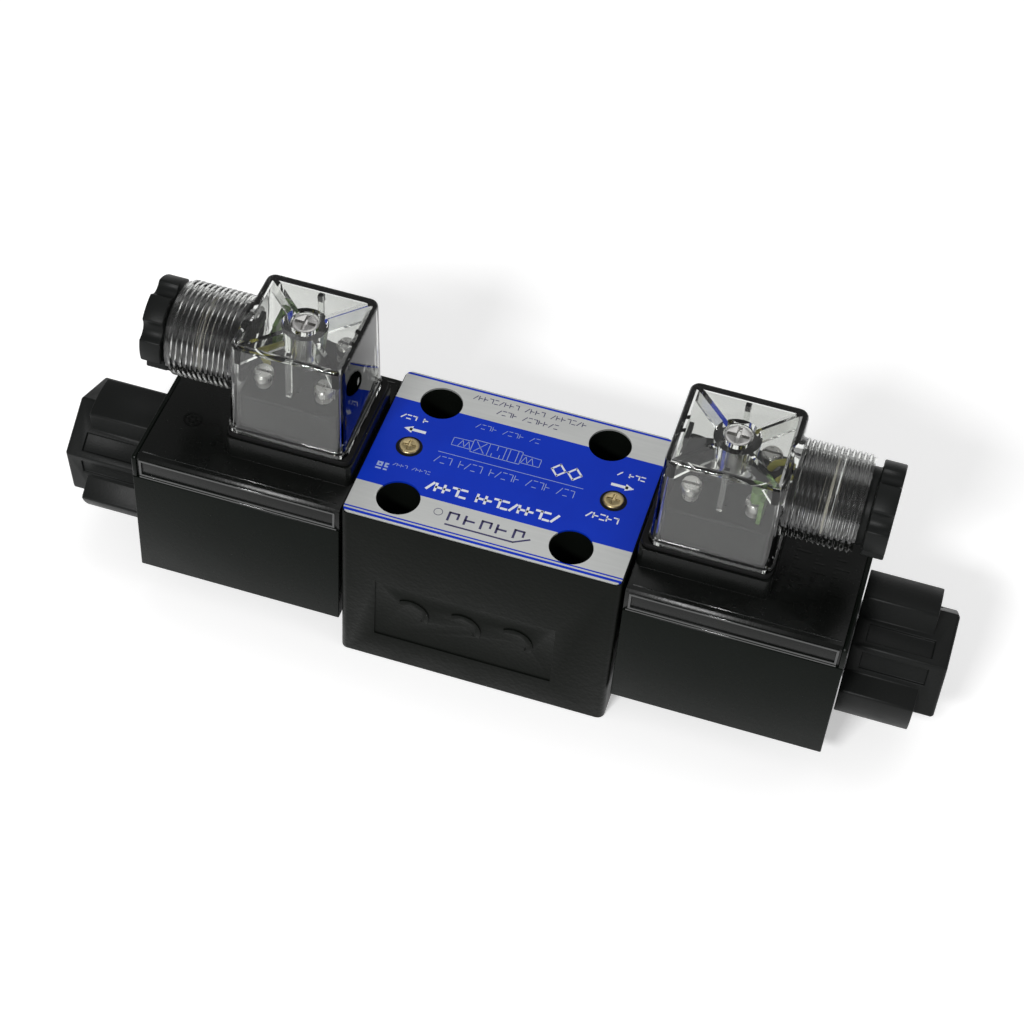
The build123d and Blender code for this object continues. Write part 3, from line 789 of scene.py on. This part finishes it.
def palePrint():
    # thinner, fainter print: long rule, rows of strokes and the three-box valve symbol
    rows = ((-17.8, 16.9, -1.3, 2.0, 1.45, 0.16, (3, 8, 14, 19), 3), (-26.0, -16.2, -6.2, 0.8, 0.9, 0.12, (4,), 2),
            (-12.0, 4.4, 11.6, 1.3, 1.3, 0.14, (4, 9), 3))
    symbol = {
        "left": -10.8, "low": 3.3, "box": 3.9, "line": 0.16, "fine": 0.14,
        # crossed, blocked and straight flow paths, measured from the symbol's lower left corner
        "paths": ((0.8, 0.4, 3.1, 3.5), (3.1, 0.4, 0.8, 3.5), (4.9, 0.0, 4.9, 1.1), (6.8, 0.0, 6.8, 1.1),
                  (5.85, 2.4, 5.85, 3.9), (8.8, 0.0, 8.8, 3.6), (10.7, 0.3, 10.7, 3.9)),
        "springPitch": 0.7, "springFrom": 0.3, "springLow": 0.8, "springHigh": 2.8, "coil": 4.6,
    }
    bm = bmesh.new()
    stroke(bm, -17.5, 0.95, 16.8, 1.1, 0.14)
    for row in rows:
        strokeRow(bm, *row)
    left, low, box, line, fine = (symbol[key] for key in ("left", "low", "box", "line", "fine"))
    right = left + 3 * box
    for k in range(3):
        x = left + box * k
        stroke(bm, x, low, x + box, low, line)
        stroke(bm, x, low + box, x + box, low + box, line)
        stroke(bm, x, low, x, low + box, line)
    stroke(bm, right, low, right, low + box, line)
    for x0, y0, x1, y1 in symbol["paths"]:
        stroke(bm, left + x0, low + y0, left + x1, low + y1, line)
    # at each end a zigzag spring inside a coil box
    ends = (symbol["springLow"], symbol["springHigh"])
    for way, edge in ((-1, left), (1, right)):
        far = edge + way * symbol["coil"]
        for k in range(4):
            start = edge + way * (symbol["springFrom"] + k * symbol["springPitch"])
            stroke(bm, start, low + ends[k % 2], start + way * symbol["springPitch"], low + ends[1 - k % 2], fine)
        stroke(bm, edge, low + 0.6, far, low + 0.6, fine)
        stroke(bm, far, low + 0.6, far, low + 3.0, fine)
        stroke(bm, edge, low + 3.2, far, low + 3.0, fine)
    return bm


def darkPrint():
    # broad plain strokes on the front silver band, a kinked line under them, and rows on the back band
    broad = {"spots": (-8.2, -4.4, -0.6, 3.0, 7.0), "left": 1.0, "right": 1.1, "foot": -18.0, "top": -15.6,
             "bar": -16.8, "hood": -15.7, "hoodEnd": -17.2, "stem": 0.55, "arm": 0.5}
    ring = {"x": -11.8, "y": -16.4, "radius": 1.0, "steps": 12, "width": 0.12}
    rows = ((-8.7, 6.4, 17.3, 1.3, 1.25, 0.2, (4,), 3), (-15.2, 13.3, 20.1, 1.3, 1.25, 0.2, (9, 14), 2))
    bm = bmesh.new()
    for k, x in enumerate(broad["spots"]):
        near, far = x - broad["left"], x + broad["right"]
        stroke(bm, near, broad["foot"], near, broad["top"], broad["stem"])
        if k % 2:
            stroke(bm, near, broad["bar"], far, broad["bar"], broad["arm"])
        else:
            stroke(bm, near, broad["hood"], far, broad["hood"], broad["arm"])
            stroke(bm, far, broad["hood"], far, broad["hoodEnd"], broad["arm"])
    for x0, y0, x1, y1 in ((-9.3, -19.3, 6.4, -19.3), (6.4, -19.3, 9.8, -17.4)):
        stroke(bm, x0, y0, x1, y1, 0.42)
    for k in range(ring["steps"]):
        spots = []
        for angle in (math.tau * k / ring["steps"], math.tau * (k + 1) / ring["steps"]):
            spots += [ring["x"] + ring["radius"] * math.cos(angle), ring["y"] + ring["radius"] * math.sin(angle)]
        stroke(bm, *spots, ring["width"])
    for row in rows:
        strokeRow(bm, *row)
    return bm


def codeSquare():
    # a chequered square patch
    patch = {"x": -29.4, "y": -8.7, "cell": 0.45, "cells": 6}
    bm = bmesh.new()
    cell = patch["cell"]
    for row in range(patch["cells"]):
        for column in range(patch["cells"]):
            if (row * 5 + column * 3 + row * column) % 4 != 1:
                x, y = patch["x"] + cell * column, patch["y"] + cell * row
                slab(bm, (x, y, ink["low"] - ink["sunk"]), (x + cell, y + cell, ink["high"]))
    return bm


def screwPaintedShadow():
    # painted shadow: a dark ring round each nameplate screw, where the hole round its head lies in shade
    shade = {"spots": (-24.2, 24.2), "inner": 2.45, "outer": 3.1}
    low, high = ink["low"] - ink["sunk"], ink["high"]
    section = ((shade["inner"], low), (shade["outer"], low), (shade["outer"], high), (shade["inner"], high))
    bm = bmesh.new()
    for x in shade["spots"]:
        lathe(bm, [(x + r, 0, z) for r, z in section], (x, 0, 0), (0, 0, 1), 48)
    return bm


def buildPlatePrint():
    makePiece("plate_print_white", whitePrint(), "inkWhite", "valve")
    makePiece("plate_print_pale", palePrint(), "inkPale", "valve")
    makePiece("plate_print_dark", darkPrint(), "inkDark", "valve")
    makePiece("plate_print_square", codeSquare(), "inkPale", "valve")
    # painted shadow rings round the nameplate screws
    makePiece("plate_screw_painted_shadow", screwPaintedShadow(), "rubberBlack", "valve")
    makePiece("plate_screws_soft", softened("nameplate_screws", 0.25), "yellowZinc", "valve",
              ["nameplate_screws"])


softenParts()
print("softened parts done")
buildPlugs()
print("connectors done")
buildCoilTrim()
buildPlatePrint()
print("coil trim and plate print done")


# stage, light and camera
def buildStage():
    floor = {"size": 6.0, "drop": 0.4 * mm, "colour": (0.86, 0.86, 0.86), "glow": 0.4}
    mesh = bpy.data.meshes.new("floor")
    bm = bmesh.new()
    bmesh.ops.create_grid(bm, x_segments=1, y_segments=1, size=floor["size"] / 2)
    bm.to_mesh(mesh)
    bm.free()
    mesh.transform(Matrix.Translation((0, 0, -floor["drop"])))
    plane = bpy.data.objects.new("floor", mesh)
    bpy.context.scene.collection.objects.link(plane)
    paper = Finish("paper", {"Roughness": 0.9, "Specular IOR Level": 0.1, "Emission Strength": floor["glow"]})
    paper.set("Base Color", rgb(*floor["colour"]))
    mesh.materials.append(paper.material)


def addLamp(name, spot, target, size, power):
    lamp = bpy.data.lights.new(name, "AREA")
    lamp.shape = "RECTANGLE"
    lamp.size, lamp.size_y = size
    lamp.energy = power
    holder = bpy.data.objects.new(name, lamp)
    bpy.context.scene.collection.objects.link(holder)
    holder.location = spot
    holder.rotation_euler = (Vector(target) - Vector(spot)).to_track_quat("-Z", "Y").to_euler()


def buildLight():
    # each lamp: place, what it points at, its two sides, power
    lamps = {
        "overhead": ((0.1, 0.5, 1.3), (0, 0, 0.03), (1.4, 0.8), 4.0),
        "front": ((-0.5, -1.3, 0.7), (0, 0, 0.03), (0.9, 0.6), 0.8),
        "glint": ((-0.16, -0.78, 0.70), (0, 0, 0.03), (0.22, 0.12), 6.5),
        "right": ((1.3, -0.3, 0.6), (0, 0, 0.03), (0.5, 0.9), 1.6),
    }
    skyStrength = 0.32
    for name, (spot, target, size, power) in lamps.items():
        addLamp(name, spot, target, size, power)
    world = bpy.data.worlds.new("softRoom")
    bpy.context.scene.world = world
    world.use_nodes = True
    background = world.node_tree.nodes["Background"]
    background.inputs["Color"].default_value = rgb(1.0, 1.0, 1.0)
    background.inputs["Strength"].default_value = skyStrength


def buildCamera():
    view = {"eye": (0.0816, -0.3375, 0.4336), "aim": (-0.0002, 0.0054, 0.0300), "roll": 4.85, "lens": 80.5}
    camera = bpy.data.cameras.new("camera")
    camera.lens = view["lens"]
    camera.clip_start = 0.01
    holder = bpy.data.objects.new("camera", camera)
    bpy.context.scene.collection.objects.link(holder)
    look = (Vector(view["aim"]) - Vector(view["eye"])).to_track_quat("-Z", "Y").to_matrix().to_4x4()
    holder.matrix_world = Matrix.Translation(view["eye"]) @ look @ Matrix.Rotation(math.radians(view["roll"]), 4, "Z")
    bpy.context.scene.camera = holder


buildStage()
buildLight()
buildCamera()
bpy.context.scene.view_settings.view_transform = "Standard"
print("stage, light and camera ready")
